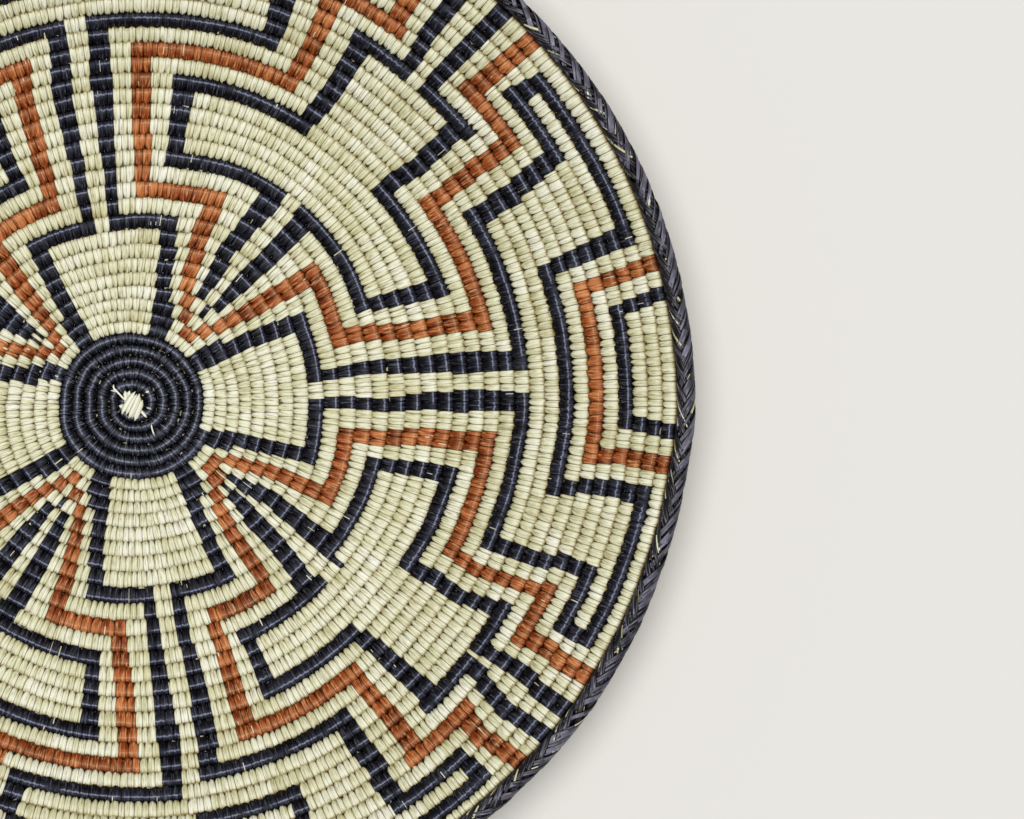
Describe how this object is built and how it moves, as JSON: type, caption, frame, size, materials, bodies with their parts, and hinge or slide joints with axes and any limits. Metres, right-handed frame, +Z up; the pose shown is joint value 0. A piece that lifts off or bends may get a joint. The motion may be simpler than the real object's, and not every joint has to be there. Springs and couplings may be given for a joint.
{
  "type": "coiled wall basket",
  "caption": "Shallow round wall basket sewn from one long coil, with a star knot at its centre, a sloping wall and a plaited rim.",
  "frame": {"origin": "centre of the start knot's flat underside, where the basket rests on its base", "axes": "+Z up through the base towards the open side, so the inside of the bowl looks up; +X and +Y lie in the plane of the rest face, with +Y towards the top of the picture and +X to its right"},
  "size_m": [0.3978, 0.3939, 0.0464],
  "materials": {
    "natural_palm": "dry leaf strip",
    "dyed_black_palm": "dyed leaf strip"
  },
  "bodies": {
    "root": {"start_knot": "natural_palm", "coil_centre_disc": "dyed_black_palm", "coil_base": "natural_palm", "coil_wall_lower": "natural_palm", "coil_wall_middle": "natural_palm", "coil_wall_upper": "natural_palm", "rim_core": "dyed_black_palm", "rim_braid": "dyed_black_palm"}
  },
  "joints": []
}
